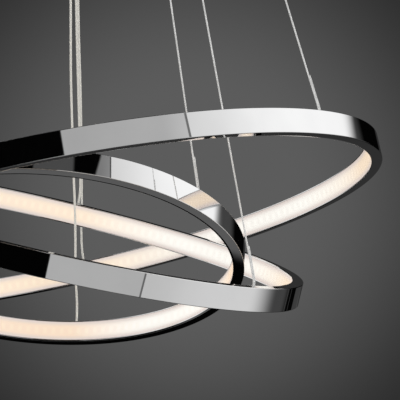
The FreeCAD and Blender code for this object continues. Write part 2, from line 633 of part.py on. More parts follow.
def driver_case():
    """The driver's tub, mouth down, with an ear at each end, four posts and holes for its leads."""
    shape = block(DRIVER_LENGTH, DRIVER_WIDTH, DRIVER_BOTTOM, PLATE_UNDERSIDE, 0, -DRIVER_OFFSET)
    uprights = [edge for edge in shape.Edges if edge.BoundBox.ZLength > DRIVER_HEIGHT / 2]
    shape = shape.makeFillet(DRIVER_EDGE, uprights)
    ears = block(2 * DRIVER_EAR_END, DRIVER_EAR_WIDTH,
                 PLATE_UNDERSIDE - DRIVER_EAR_THICKNESS, PLATE_UNDERSIDE, 0, -DRIVER_OFFSET)
    shape = shape.fuse(ears)
    shape = shape.cut(block(DRIVER_LENGTH - 2 * DRIVER_WALL, DRIVER_WIDTH - 2 * DRIVER_WALL,
                            DRIVER_BOTTOM - 1, DRIVER_ROOF, 0, -DRIVER_OFFSET))
    for x, y in post_places():
        shape = shape.fuse(rod(POST_DIAMETER / 2, BOARD_TOP, DRIVER_ROOF, x, y))
    for place in driver_screw_places():
        hole = rod(DRIVER_SCREW_DIAMETER / 2, DRIVER_BOTTOM, 1, place.x, place.y)
        shape = shape.cut(hole)
    for index in range(len(RINGS)):
        hole = Part.makeCylinder(CORD_DIAMETER / 2 + DRIVER_LEAD_HOLE_PLAY, 4 * DRIVER_WALL,
                                 V(DRIVER_LENGTH / 2 - 2 * DRIVER_WALL, lead_row(index) - DRIVER_OFFSET,
                                   -OUTPUT_LEAD_DEPTH), V(1, 0, 0))
        shape = shape.cut(hole)
    start = V(-DRIVER_LENGTH / 2 - 2 * DRIVER_WALL, -DRIVER_OFFSET, -LEAD_DEPTH)
    hole = Part.makeCylinder(LEAD_DIAMETER / 2 + DRIVER_LEAD_HOLE_PLAY, 4 * DRIVER_WALL, start, V(1, 0, 0))
    return shape.cut(hole).removeSplitter()


def post_places():
    """The corners of the board, where the posts stand."""
    reach_x = DRIVER_LENGTH / 2 - DRIVER_WALL - BOARD_MARGIN - POST_DIAMETER / 2
    reach_y = DRIVER_WIDTH / 2 - DRIVER_WALL - BOARD_MARGIN - POST_DIAMETER / 2
    return [(x, y - DRIVER_OFFSET) for x in (-reach_x, reach_x) for y in (-reach_y, reach_y)]


def driver_lid():
    """The flat lid under the driver's tub."""
    return block(DRIVER_LENGTH, DRIVER_WIDTH, DRIVER_BOTTOM - DRIVER_WALL, DRIVER_BOTTOM, 0, -DRIVER_OFFSET)


def driver_board():
    """The circuit board on the posts, with a transformer and two capacitors on it up to near the roof."""
    margin = 2 * (DRIVER_WALL + BOARD_MARGIN)
    shape = block(DRIVER_LENGTH - margin, DRIVER_WIDTH - margin, BOARD_TOP - BOARD_THICKNESS, BOARD_TOP,
                  0, -DRIVER_OFFSET)
    parts_top = DRIVER_ROOF - BOARD_PARTS_GAP
    shape = shape.fuse(block(TRANSFORMER_LENGTH, TRANSFORMER_WIDTH, BOARD_TOP, parts_top, 0, -DRIVER_OFFSET))
    for x in (-DRIVER_LENGTH / 4, DRIVER_LENGTH / 4):
        shape = shape.fuse(rod(CAPACITOR_DIAMETER / 2, BOARD_TOP, parts_top, x, -DRIVER_OFFSET))
    return shape


def driver_screws():
    """The two screws through the driver's ears into the plate."""
    screws = []
    for place in driver_screw_places():
        ear_bottom = PLATE_UNDERSIDE - DRIVER_EAR_THICKNESS
        shank = rod(DRIVER_SCREW_DIAMETER / 2, ear_bottom, 0, place.x, place.y)
        head = rod(DRIVER_SCREW_HEAD / 2, ear_bottom - DRIVER_SCREW_HEAD_THICKNESS, ear_bottom,
                   place.x, place.y)
        screws.append(shank.fuse(head))
    return Part.makeCompound(screws)


def terminal_pole_x(pole):
    """The middle of one pole of the terminal block."""
    return TERMINAL_X + (pole - (TERMINAL_POLES - 1) / 2) * TERMINAL_PITCH


def terminal_block():
    """The supply terminal block on the plate, with a wire way and a screw hole for each pole."""
    bottom = PLATE_UNDERSIDE - TERMINAL_HEIGHT
    shape = block(TERMINAL_POLES * TERMINAL_PITCH, TERMINAL_DEPTH, bottom, PLATE_UNDERSIDE,
                  TERMINAL_X, TERMINAL_Y)
    for pole in range(TERMINAL_POLES):
        x = terminal_pole_x(pole)
        way = Part.makeCylinder(LEAD_DIAMETER / 2 + TERMINAL_WIRE_PLAY, TERMINAL_DEPTH + 2,
                                V(x, TERMINAL_Y - TERMINAL_DEPTH / 2 - 1, -LEAD_DEPTH), V(0, 1, 0))
        shape = shape.cut(way)
        shape = shape.cut(rod(TERMINAL_SCREW_DIAMETER / 2, bottom - 1, -LEAD_DEPTH, x, TERMINAL_Y))
    return shape


def terminal_screws():
    """One clamping screw in each pole."""
    screws = []
    for pole in range(TERMINAL_POLES):
        screws.append(rod(TERMINAL_SCREW_DIAMETER / 2, PLATE_UNDERSIDE - TERMINAL_HEIGHT, -LEAD_DEPTH,
                          terminal_pole_x(pole), TERMINAL_Y))
    return Part.makeCompound(screws)


def earth_screw():
    """The earthing screw and its head under the plate."""
    shank = rod(EARTH_SCREW_DIAMETER / 2, PLATE_UNDERSIDE, 0, EARTH_SCREW_X, EARTH_SCREW_Y)
    head = rod(EARTH_SCREW_HEAD / 2, PLATE_UNDERSIDE - EARTH_SCREW_LENGTH, PLATE_UNDERSIDE,
               EARTH_SCREW_X, EARTH_SCREW_Y)
    return shank.fuse(head)


def input_lead():
    """The lead from the terminal block round to the driver's supply end."""
    end_x = -DRIVER_LENGTH / 2
    front = TERMINAL_Y - TERMINAL_DEPTH / 2
    x = terminal_pole_x(TERMINAL_POLES - 1)
    far_y = LEAD_BEND / 2 - DRIVER_OFFSET
    far_x = LEAD_RIM_GAP - math.sqrt(TAB_INSIDE ** 2 - far_y ** 2)
    points = [V(x, front + TERMINAL_DEPTH / 4, -LEAD_DEPTH), V(x, front - LEAD_BEND / 2, -LEAD_DEPTH),
              V(far_x, front - 1.5 * LEAD_BEND, -LEAD_DEPTH), V(far_x, far_y, -LEAD_DEPTH),
              V(end_x - 0.6 * LEAD_BEND, -DRIVER_OFFSET, -LEAD_DEPTH),
              V(end_x + 2 * DRIVER_WALL, -DRIVER_OFFSET, -LEAD_DEPTH)]
    return tube(points, LEAD_DIAMETER, "input lead")


def output_leads():
    """The supply cords' inner ends, from the glands up and round to the driver's far end, side by side."""
    leads = []
    for index, ring in enumerate(sorted(RINGS, key=GLAND_CIRCLE.get)):
        gland = gland_place(ring)
        far_x = DRIVER_LENGTH / 2 + OUTPUT_LEAD_REACH + index * OUTPUT_LEAD_PITCH
        end_y = -lead_row(index) - DRIVER_OFFSET
        points = [V(gland.x, gland.y, COVER_UNDERSIDE - CORD_TOP_IN_GLAND),
                  V(gland.x, gland.y, -OUTPUT_LEAD_DEPTH),
                  V(far_x, gland.y, -OUTPUT_LEAD_DEPTH), V(far_x, end_y, -OUTPUT_LEAD_DEPTH),
                  V(DRIVER_LENGTH / 2 - 2 * DRIVER_WALL, end_y, -OUTPUT_LEAD_DEPTH)]
        leads.append(tube(points, CORD_DIAMETER, "output lead " + ring))
    return Part.makeCompound(leads)


def subcomponents():
    """Every node's name and solid."""
    nodes = {
        "ceiling_plate": ceiling_plate(),
        "canopy_cover": canopy_cover(),
        "cover_screws": cover_screws(),
        "driver_case": driver_case(),
        "driver_lid": driver_lid(),
        "driver_board": driver_board(),
        "driver_screws": driver_screws(),
        "terminal_block": terminal_block(),
        "terminal_screws": terminal_screws(),
        "earth_screw": earth_screw(),
        "input_lead": input_lead(),
        "output_leads": output_leads(),
        "cord_glands": cord_glands(),
        "gland_nuts": at_glands(neck_nut()),
        "gripper_bodies": gripper_bodies(),
        "gripper_noses": gripper_noses(),
        "gripper_nuts": at_grippers(neck_nut()),
    }
    for ring in RINGS:
        nodes[ring + "_channel"] = channel(ring)
        nodes[ring + "_diffuser"] = diffuser(ring)
        nodes[ring + "_led_strip"] = led_strip(ring)
        nodes[ring + "_splice_plate"] = splice_plate(ring)
        nodes[ring + "_rope_clamps"] = rope_clamps(ring)
        nodes[ring + "_clamp_screws"] = clamp_screws(ring)
        nodes[ring + "_cord_bushing"] = cord_bushing(ring)
        nodes[ring + "_supply_cord"] = supply_cord(ring)
        for side in SIDES:
            nodes[ring + "_rope_" + side] = rope(ring, side)
            nodes[ring + "_release_sleeve_" + side] = release_sleeve(ring, side)
            nodes[ring + "_sleeve_spring_" + side] = sleeve_spring(ring, side)
    return nodes


os.makedirs("parts", exist_ok=True)
for name, shape in subcomponents().items():
    if not shape.isValid() or not shape.Solids:
        raise RuntimeError("not a valid solid: " + name)
    shape.exportStep("parts/" + name + ".step")
    box = shape.BoundBox
    print("%-28s solids %2d  volume %10.1f  box %.1f %.1f %.1f .. %.1f %.1f %.1f" % (
        name, len(shape.Solids), shape.Volume, box.XMin, box.YMin, box.ZMin, box.XMax, box.YMax, box.ZMax))
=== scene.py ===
import bmesh
import bpy
import math
from mathutils import Matrix, Vector


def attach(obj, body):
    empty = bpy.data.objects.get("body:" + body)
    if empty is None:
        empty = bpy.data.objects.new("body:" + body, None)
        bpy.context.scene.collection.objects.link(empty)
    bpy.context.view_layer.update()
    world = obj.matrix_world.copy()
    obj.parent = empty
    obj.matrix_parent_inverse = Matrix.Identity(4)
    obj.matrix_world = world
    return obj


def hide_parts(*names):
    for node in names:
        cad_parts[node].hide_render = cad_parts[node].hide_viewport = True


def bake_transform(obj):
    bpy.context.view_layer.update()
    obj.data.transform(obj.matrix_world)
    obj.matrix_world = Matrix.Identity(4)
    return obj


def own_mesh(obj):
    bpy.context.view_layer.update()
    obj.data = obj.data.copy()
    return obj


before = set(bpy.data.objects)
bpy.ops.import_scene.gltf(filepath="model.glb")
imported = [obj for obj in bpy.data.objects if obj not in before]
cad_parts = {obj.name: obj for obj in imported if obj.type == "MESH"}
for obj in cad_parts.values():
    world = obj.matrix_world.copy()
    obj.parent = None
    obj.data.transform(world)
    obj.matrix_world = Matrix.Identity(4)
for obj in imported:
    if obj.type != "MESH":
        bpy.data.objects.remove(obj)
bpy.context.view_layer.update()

scene = bpy.context.scene
MM = 0.001


# ---- Camera ----
# Level with the rings and two metres off, looking along +Y, a little right of the canopy's axis, so that
# the rings run out of the picture on the left.

CAMERA_PLACE = (0.135667, -2.087, -0.803)
# In radians above level
CAMERA_RISE = 0.00544

camera = bpy.data.objects.new("camera", bpy.data.cameras.new("camera"))
scene.collection.objects.link(camera)
scene.camera = camera
camera.location = CAMERA_PLACE
camera.rotation_euler = (math.pi / 2 + CAMERA_RISE, 0, 0)
camera.data.sensor_width = 36
camera.data.lens = 214.42
camera.data.clip_end = 60


# ---- Steel ropes ----
# Two to a ring, 1.5 mm galvanised steel, six strands laid round a core. Each is gripped under the canopy,
# runs taut to the ring, goes through its top wall into the clamp, and comes back up beside itself for
# three centimetres.

def add_spline(curve, kind, places):
    """A spline in a curve, with a point at each place."""
    spline = curve.splines.new(kind)
    spline.points.add(len(places) - 1)
    for point, place in zip(spline.points, places):
        point.co = (*place, 1)
    return spline


def curve_mesh(curve):
    """The mesh that a curve makes."""
    holder = bpy.data.objects.new("holder", curve)
    scene.collection.objects.link(holder)
    bpy.context.view_layer.update()
    mesh = bpy.data.meshes.new_from_object(holder)
    bpy.data.objects.remove(holder)
    return mesh


def smooth_line(places):
    """The points along a route, as its NURBS spline gives them."""
    curve = bpy.data.curves.new("route", "CURVE")
    curve.dimensions = "3D"
    curve.resolution_u = 20
    spline = add_spline(curve, "NURBS", places)
    spline.order_u = 3
    spline.use_endpoint_u = True
    return [vertex.co.copy() for vertex in curve_mesh(curve).vertices]


def tube(name, lines, radius, roundness):
    """A smooth-shaded tube along each line, all in one object."""
    curve = bpy.data.curves.new(name, "CURVE")
    curve.dimensions = "3D"
    curve.bevel_depth = radius
    curve.bevel_resolution = roundness
    curve.use_fill_caps = True
    for line in lines:
        add_spline(curve, "POLY", line)
    mesh = curve_mesh(curve)
    mesh.name = name
    for polygon in mesh.polygons:
        polygon.use_smooth = True
    made = bpy.data.objects.new(name, mesh)
    scene.collection.objects.link(made)
    return made


def even_stations(line, step):
    """Places at an even step along a line, each with two directions square to it that don't twist."""
    stations = []
    way = (line[1] - line[0]).normalized()
    side = way.orthogonal().normalized()
    left = 0.0
    for start, end in zip(line, line[1:]):
        run = (end - start).length
        way = (end - start) / run
        side = (side - way * side.dot(way)).normalized()
        while left <= run:
            stations.append((start + way * left, side.copy(), way.cross(side)))
            left += step
        left -= run
    stations.append((line[-1], side.copy(), way.cross(side)))
    return stations


def laid_strands(name, line, step, lay, count, offset, radius):
    """Strands wound round a line, one turn in each lay, with a core where there are more than two."""
    stations = even_stations(line, step)
    strands = []
    for strand in range(count + (count > 2)):
        reach = offset if strand < count else 0.0
        turns = [2 * math.pi * (index * step / lay + strand / count) for index in range(len(stations))]
        strands.append([place + side * reach * math.cos(turn) + across * reach * math.sin(turn)
                        for turn, (place, side, across) in zip(turns, stations)])
    return tube(name, strands, radius, roundness=1)


class Flow:
    """A value in a shader tree. Sums on it add Math nodes, and node() adds any other node."""

    def __init__(self, tree, socket=None):
        self.tree = tree
        self.socket = socket

    def node(self, kind, settings, sockets, out=0):
        made = self.tree.nodes.new(kind)
        for name, value in settings.items():
            setattr(made, name, value)
        for name, value in sockets.items():
            if isinstance(value, Flow):
                self.tree.links.new(value.socket, made.inputs[name])
            else:
                made.inputs[name].default_value = value
        return Flow(self.tree, made.outputs[out] if len(made.outputs) else None)

    def math(self, operation, *values):
        return self.node("ShaderNodeMath", {"operation": operation}, dict(enumerate(values)))

    def __add__(self, other):
        return self.math("ADD", self, other)

    def __sub__(self, other):
        return self.math("SUBTRACT", self, other)

    def __rsub__(self, other):
        return self.math("SUBTRACT", other, self)

    def __mul__(self, other):
        return self.math("MULTIPLY", self, other)

    __radd__ = __add__
    __rmul__ = __mul__

    def rise(self, low, high):
        """0 below low, 1 above high, and smooth between."""
        return self.node("ShaderNodeMapRange", {"interpolation_type": "SMOOTHSTEP"},
                         {"Value": self, "From Min": low, "From Max": high})

    def fall(self, low, high):
        """1 below low, 0 above high, and smooth between."""
        return 1.0 - self.rise(low, high)

    def blend(self, first, second):
        """first where this value is 0, second where it is 1. Colour sockets are named by their numbers."""
        return self.node("ShaderNodeMix", {"data_type": "RGBA"}, {0: self, 6: first, 7: second}, out=2)

    def grey(self):
        """The grey of this value."""
        return self.node("ShaderNodeCombineColor", {}, {0: self, 1: self, 2: self})

    def axes(self, vector):
        """A vector's X, Y and Z."""
        return [self.node("ShaderNodeSeparateXYZ", {}, {"Vector": vector}, out=axis) for axis in "XYZ"]

    def vector(self, x, y, z):
        return self.node("ShaderNodeCombineXYZ", {}, {"X": x, "Y": y, "Z": z})

    def noise(self, place, scale, detail=2.0):
        return self.node("ShaderNodeTexNoise", {}, {"Vector": place, "Scale": scale, "Detail": detail})

    def bump(self, height, distance):
        return self.node("ShaderNodeBump", {}, {"Height": height, "Distance": distance, "Strength": 1.0})


def new_finish(name):
    """A material with an empty tree, and the flow and the object's place that its pattern starts from."""
    material = bpy.data.materials.new(name)
    material.use_nodes = True
    material.node_tree.nodes.clear()
    flow = Flow(material.node_tree)
    return material, flow, flow.node("ShaderNodeTexCoord", {}, {}, out="Object")


def surface(flow, sockets):
    """Ends a material's tree with its one shader."""
    shader = flow.node("ShaderNodeBsdfPrincipled", {}, sockets)
    flow.node("ShaderNodeOutputMaterial", {}, {"Surface": shader})


def hang(piece, top, bottom):
    """Eases a piece's heights between top and bottom by the inverse of a smoothstep, bakes its transform,
    and then puts the heights back.
    """
    heights = [vertex.co.z for vertex in piece.data.vertices]
    for vertex, height in zip(piece.data.vertices, heights):
        share = min(max((height - top) / (bottom - top), 0), 1)
        vertex.co.z = top + (0.5 - math.sin(math.asin(1 - 2 * share) / 3)) * (bottom - top)
    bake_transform(piece)
    for vertex, height in zip(piece.data.vertices, heights):
        vertex.co.z = height


rope_finish, flow, place = new_finish("rope_steel")
soil = flow.noise(place, scale=90.0, detail=3.0)
grain = flow.noise(place, scale=2500.0)
surface(flow, {
    "Base Color": soil.rise(0.35, 0.7).blend((0.96, 0.96, 0.95, 1), (0.82, 0.82, 0.81, 1)),
    "Metallic": 0.55,
    "Roughness": 0.24 + 0.16 * grain,
    "Normal": flow.bump(grain, distance=0.00002),
})

ROPE_DIAMETER = 1.5 * MM
ROPE_LAY = 9.5 * MM
ROPE_TOP = -40 * MM
# From here up a rope is upright, and from there down hang eases a rope's or cord's heights
UPRIGHT_FROM, STRETCH_FROM = -68.5 * MM, -80 * MM
ROPE_GRIP = {
    ("outer", "a"): (0.04303, -0.01316), ("outer", "b"): (-0.03291, -0.03069),
    ("middle", "a"): (0.03816, -0.02385), ("middle", "b"): (-0.03973, -0.02113),
    ("inner", "a"): (0.03069, -0.03291), ("inner", "b"): (-0.04385, -0.01012),
}
# From the clamp up: its end, the bend in the ring's top wall, a point nine millimetres on, and one just
# under the gripper
ROPE_ROUTE = {
    ("outer", "a"): (
        (0.23396, -0.15894, -0.72830), (0.23184, -0.15709, -0.71849),
        (0.22939, -0.15522, -0.71004), (0.04549, -0.01503, -0.07695)),
    ("outer", "b"): (
        (-0.26335, -0.12955, -0.84145), (-0.26547, -0.12771, -0.83164),
        (-0.26287, -0.12662, -0.82310), (-0.03552, -0.03178, -0.07705)),
    ("middle", "a"): (
        (0.17787, -0.12836, -0.87047), (0.18020, -0.12923, -0.86058),
        (0.17863, -0.12806, -0.85179), (0.03974, -0.02501, -0.07728)),
    ("middle", "b"): (
        (-0.19938, -0.09549, -0.77878), (-0.19705, -0.09636, -0.76888),
        (-0.19509, -0.09542, -0.76015), (-0.04169, -0.02206, -0.07723)),
    ("inner", "a"): (
        (0.13331, -0.09488, -0.79196), (0.13371, -0.09024, -0.78289),
        (0.13243, -0.08953, -0.77401), (0.03197, -0.03362, -0.07738)),
    ("inner", "b"): (
        (-0.15771, -0.05157, -0.80110), (-0.15730, -0.04692, -0.79203),
        (-0.15591, -0.04647, -0.78315), (-0.04524, -0.01057, -0.07738)),
}
# The tail beside it: its end in the clamp, the bend, a point as far on, and the cut end
TAIL_ROUTE = {
    ("outer", "a"): (
        (0.23495, -0.15750, -0.72835), (0.23283, -0.15565, -0.71855),
        (0.23005, -0.15353, -0.70897), (0.22492, -0.14962, -0.69131)),
    ("outer", "b"): (
        (-0.26264, -0.13109, -0.84100), (-0.26476, -0.12924, -0.83120),
        (-0.26181, -0.12801, -0.82151), (-0.25637, -0.12574, -0.80366)),
    ("middle", "a"): (
        (0.17887, -0.12693, -0.87058), (0.18120, -0.12779, -0.86069),
        (0.17941, -0.12647, -0.85073), (0.17577, -0.12377, -0.83043)),
    ("middle", "b"): (
        (-0.19868, -0.09707, -0.77908), (-0.19635, -0.09793, -0.76919),
        (-0.19413, -0.09687, -0.75929), (-0.18960, -0.09470, -0.73910)),
    ("inner", "a"): (
        (0.13439, -0.09368, -0.79263), (0.13479, -0.08903, -0.78356),
        (0.13334, -0.08822, -0.77349), (0.13081, -0.08681, -0.75593)),
    ("inner", "b"): (
        (-0.15706, -0.05303, -0.80039), (-0.15665, -0.04838, -0.79132),
        (-0.15507, -0.04787, -0.78125), (-0.15232, -0.04698, -0.76369)),
}


def steel_rope(name, line):
    """Six strands and their core along a line."""
    rope = laid_strands(name, line, ROPE_LAY / 8, ROPE_LAY, 6, ROPE_DIAMETER / 3, ROPE_DIAMETER / 6)
    rope.data.materials.append(rope_finish)
    return rope


for (ring, side), route in ROPE_ROUTE.items():
    x, y = ROPE_GRIP[ring, side]
    node = ring + "_rope_" + side
    bend, cut_end = TAIL_ROUTE[ring, side][1], TAIL_ROUTE[ring, side][3]
    tail_line = smooth_line(TAIL_ROUTE[ring, side])
    tail = steel_rope(ring + "_rope_tail_" + side, tail_line)
    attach(tail, ring + "_ring")
    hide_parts(node)

    line = smooth_line(route + ((x, y, UPRIGHT_FROM), (x, y, ROPE_TOP)))
    rope = steel_rope(ring + "_steel_rope_" + side, line)
    hang(rope, STRETCH_FROM, cut_end[2])
    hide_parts(node)


# ---- Supply cords ----
# One to a ring: a 2.2 mm cord with a clear, slightly milky sheath, extruded over two tinned copper cores
# that show through it as a pale line. It is clamped in its gland and hangs nearly straight.

jacket_finish, flow, place = new_finish("clear_cord")
haze = flow.noise(place, scale=220.0, detail=3.0)
surface(flow, {
    "Base Color": haze.blend((0.90, 0.88, 0.82, 1), (0.98, 0.96, 0.91, 1)),
    "Roughness": 0.16 + 0.14 * haze,
    "IOR": 1.48,
    "Transmission Weight": 0.4,
    "Normal": flow.bump(flow.noise(place, scale=900.0), distance=0.00003),
})

core_finish, flow, place = new_finish("tinned_core")
twist = flow.noise(place, scale=1800.0)
surface(flow, {
    "Base Color": twist.blend((0.78, 0.76, 0.72, 1), (0.93, 0.92, 0.88, 1)),
    "Metallic": 0.6,
    "Roughness": 0.3 + 0.2 * twist,
})

CORD_DIAMETER = 2.2 * MM
CORE_RADIUS, CORE_OFFSET = 0.32 * MM, 0.42 * MM
CORE_STEP, CORE_LAY = 3 * MM, 36 * MM
# A cord's last stretch, this high, lies below the bottom that hang is given
CORD_FOOT = 30 * MM
CORD_ROUTE = {
    "outer": (
        (0.01903, 0.05373, -0.04700), (0.01903, 0.05373, -0.07500), (0.01945, 0.06821, -0.12110),
        (0.01996, 0.08518, -0.17488), (0.02007, 0.10206, -0.22866), (0.01968, 0.11874, -0.28245),
        (0.01899, 0.13531, -0.33623), (0.01820, 0.15179, -0.39001), (0.01761, 0.16836, -0.44380),
        (0.01722, 0.18514, -0.49758), (0.01735, 0.19971, -0.54368), (0.01767, 0.21439, -0.58978),
        (0.01799, 0.22897, -0.63588), (0.01881, 0.24345, -0.68198), (0.01884, 0.25773, -0.72808),
        (0.01867, 0.26951, -0.76649), (0.01832, 0.27890, -0.79723), (0.01728, 0.28609, -0.82027),
        (0.01775, 0.29338, -0.84332), (0.02070, 0.29081, -0.85697)),
    "middle": (
        (0.01502, 0.04242, -0.04700), (0.01502, 0.04242, -0.07500), (0.01490, 0.05341, -0.11765),
        (0.01472, 0.06619, -0.16740), (0.01484, 0.07878, -0.21716), (0.01536, 0.09117, -0.26692),
        (0.01618, 0.10355, -0.31667), (0.01710, 0.11594, -0.36643), (0.01782, 0.12843, -0.41619),
        (0.01824, 0.14101, -0.46594), (0.01816, 0.15380, -0.51570), (0.01788, 0.16659, -0.56546),
        (0.01795, 0.17758, -0.60811), (0.01842, 0.18836, -0.65075), (0.01910, 0.19905, -0.69340),
        (0.01963, 0.20784, -0.72894), (0.01997, 0.21314, -0.75027), (0.01998, 0.21763, -0.76804),
        (0.01959, 0.22223, -0.78581), (0.01635, 0.22343, -0.79958)),
    "inner": (
        (0.01102, 0.03111, -0.04700), (0.01102, 0.03111, -0.07500), (0.01195, 0.03867, -0.12441),
        (0.01316, 0.04740, -0.18206), (0.01398, 0.05633, -0.23970), (0.01430, 0.06547, -0.29735),
        (0.01432, 0.07460, -0.35500), (0.01423, 0.08374, -0.41264), (0.01455, 0.09267, -0.47029),
        (0.01537, 0.10150, -0.52793), (0.01630, 0.10896, -0.57734), (0.01613, 0.11642, -0.62676),
        (0.01566, 0.12398, -0.67617), (0.01660, 0.13036, -0.71734), (0.01734, 0.13694, -0.75852),
        (0.01868, 0.14352, -0.79969), (0.01884, 0.14873, -0.83263), (0.01834, 0.15309, -0.86146),
        (0.01977, 0.15619, -0.88204), (0.01984, 0.15874, -0.89852), (0.01928, 0.15227, -0.91114)),
}

for ring, route in CORD_ROUTE.items():
    node = ring + "_supply_cord"
    line = smooth_line(route)
    cores = laid_strands(ring + "_cord_cores", line, CORE_STEP, CORE_LAY, 2, CORE_OFFSET, CORE_RADIUS)
    cores.data.materials.append(core_finish)
    jacket = tube(ring + "_cord_jacket", [line], CORD_DIAMETER / 2, roundness=6)
    jacket.data.materials.append(jacket_finish)
    for piece in (cores, jacket):
        hang(piece, STRETCH_FROM, route[-2][2] + CORD_FOOT)
        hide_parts(node)


# ---- Leads inside the canopy ----
# The supply cords' inner ends, and the white PVC lead from the terminal block to the driver, lie flat above
# the cover's floor.

lead_finish, flow, place = new_finish("white_lead")
mottle = flow.noise(place, scale=160.0)
surface(flow, {
    "Base Color": mottle.blend((0.74, 0.74, 0.72, 1), (0.82, 0.82, 0.80, 1)),
    "Roughness": 0.38 + 0.14 * mottle,
    "Normal": flow.bump(flow.noise(place, scale=1200.0), distance=0.00004),
})

INPUT_ROUTE = (
    (-0.05200, 0.02600, -0.01100), (-0.05200, 0.00700, -0.01100), (-0.08281, -0.02300, -0.01100),
    (-0.08281, -0.06134, -0.01100), (-0.06800, -0.07634, -0.01100), (-0.04700, -0.07634, -0.01100))
# Each output lead's length, its way past the driver's end in X, and its terminal in Y
OUTPUT_LEAD = {
    "inner": (0.189, 0.066, -0.07234),
    "middle": (0.207, 0.070, -0.07634),
    "outer": (0.226, 0.074, -0.08034),
}
OUTPUT_LEVEL, DRIVER_END = -15 * MM, 47 * MM


def inner_lead(name, route, diameter, finish, node):
    """A lead that stays with the canopy."""
    line = smooth_line(route)
    lead = tube(name, [line], diameter / 2, roundness=6)
    lead.data.materials.append(finish)
    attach(lead, "canopy")
    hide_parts(node)


inner_lead("driver_supply_lead", INPUT_ROUTE, 3.2 * MM, lead_finish, "input_lead")
for ring, (length, way, terminal) in OUTPUT_LEAD.items():
    x, y, start = CORD_ROUTE[ring][0]
    route = ((x, y, start), (x, y, OUTPUT_LEVEL), (way, y, OUTPUT_LEVEL), (way, terminal, OUTPUT_LEVEL),
             (DRIVER_END, terminal, OUTPUT_LEVEL))
    inner_lead("output_lead_" + ring, route, CORD_DIAMETER, jacket_finish,
               "output_leads")


# ---- Ring profiles ----
# Each ring is an aluminium U-section, 20.5 by 10 mm, rolled with its mouth to the centre, then polished and
# chrome plated. Its top wall is slotted for the two ropes with their tails, and drilled for the cord's
# bushing.

RING_RADIUS = {"outer": 300 * MM, "middle": 230 * MM, "inner": 175 * MM}
RING_DROP = {"outer": 812 * MM, "middle": 820.5 * MM, "inner": 838 * MM}
# In degrees: the way that each ring leans and how far, and where its first rope and its cord are
RING_LEAN = {"outer": (139.0, 16.0), "middle": (-20.4, 14.1), "inner": (85.0, 27.2)}
ROPE_TURN = {"outer": -34.3, "middle": -35.2, "inner": -38.6}
CORD_TURN = {"outer": 86.8, "middle": 86.6, "inner": 83.0}
ROPE_SPREAD = 120
HANG_INSET = 5.05 * MM
CORD_HOLE_RADIUS = 2.1 * MM
ROPE_SLOT_RADIUS, ROPE_SLOT_HALF = 1.0 * MM, 0.875 * MM
PROFILE_TOP = 10.25 * MM
PROFILE_WIDTH = 10 * MM
PROFILE_WALL = 1.2 * MM
# The top and bottom walls' lips, in millimetres: they step in at the mouth and swell behind the step
LIP_WIDTH, LIP_STEP, LIP_SWELL = 1.9, 0.25, 0.1
RING_STEPS = 480


def ring_place(ring):
    """Takes a ring drawn level at the origin to its height and lean."""
    azimuth, lean = (math.radians(angle) for angle in RING_LEAN[ring])
    axis = (-math.sin(azimuth), math.cos(azimuth), 0)
    return Matrix.Translation((0, 0, -RING_DROP[ring])) @ Matrix.Rotation(lean, 4, axis)


def ring_space(flow, place, ring):
    """Distance round a ring, distance out from its axis, and height in it, for a pattern that follows it."""
    lean = ring_place(ring)
    x, y, z = flow.axes(flow.node("ShaderNodeMapping", {"vector_type": "TEXTURE"}, {
        "Vector": place, "Location": lean.to_translation(), "Rotation": lean.to_euler()}))
    around = flow.math("ARCTAN2", y, x) * RING_RADIUS[ring]
    return around, flow.math("SQRT", x * x + y * y), z


def turned(corners, steps):
    """A closed section of corners (radius, height, rounding) in millimetres, spun about Z."""
    shape = bmesh.new()
    points = [shape.verts.new((radius * MM, 0, height * MM)) for radius, height, _ in corners]
    shape.faces.new(points)
    for point, (_, _, rounding) in zip(points, corners):
        if rounding:
            bmesh.ops.bevel(shape, geom=[point], offset=rounding * MM, offset_type="OFFSET",
                            affect="VERTICES", segments=4, profile=0.5, material=-1)
    bmesh.ops.delete(shape, geom=shape.faces[:], context="FACES_ONLY")
    on_axis = [edge for edge in shape.edges if max(vert.co.x for vert in edge.verts) < 1e-7]
    bmesh.ops.delete(shape, geom=on_axis, context="EDGES")
    bmesh.ops.spin(shape, geom=shape.verts[:] + shape.edges[:], cent=(0, 0, 0), axis=(0, 0, 1),
                   angle=2 * math.pi, steps=steps, use_merge=True)
    bmesh.ops.remove_doubles(shape, verts=shape.verts[:], dist=1e-7)
    bmesh.ops.recalc_face_normals(shape, faces=shape.faces[:])
    return shape


def as_object(name, shape):
    """An object in the scene, made of a bmesh and any modifiers that it is then given."""
    mesh = bpy.data.meshes.new(name)
    shape.to_mesh(mesh)
    shape.free()
    made = bpy.data.objects.new(name, mesh)
    scene.collection.objects.link(made)
    return made


def cut_away(shape, cutter):
    """The shape less the cutter."""
    whole, tool = as_object("whole", shape), as_object("tool", cutter)
    boolean = whole.modifiers.new("cut", "BOOLEAN")
    boolean.object = tool
    boolean.operation = "DIFFERENCE"
    boolean.solver = "EXACT"
    bpy.context.view_layer.update()
    left = bpy.data.meshes.new_from_object(whole.evaluated_get(bpy.context.evaluated_depsgraph_get()))
    bpy.data.objects.remove(whole)
    bpy.data.objects.remove(tool)
    result = bmesh.new()
    result.from_mesh(left)
    return result


def finished_piece(name, shape, finish, body, slot, *nodes):
    """A smooth-shaded piece that rides on a body and stands for CAD nodes."""
    made = as_object(name, shape)
    made.data.materials.append(finish)
    for polygon in made.data.polygons:
        polygon.use_smooth = True
    made.data.set_sharp_from_angle(angle=math.radians(38))
    even = made.modifiers.new("even_normals", "WEIGHTED_NORMAL")
    even.keep_sharp = True
    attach(made, body)
    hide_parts(*nodes)
    return made


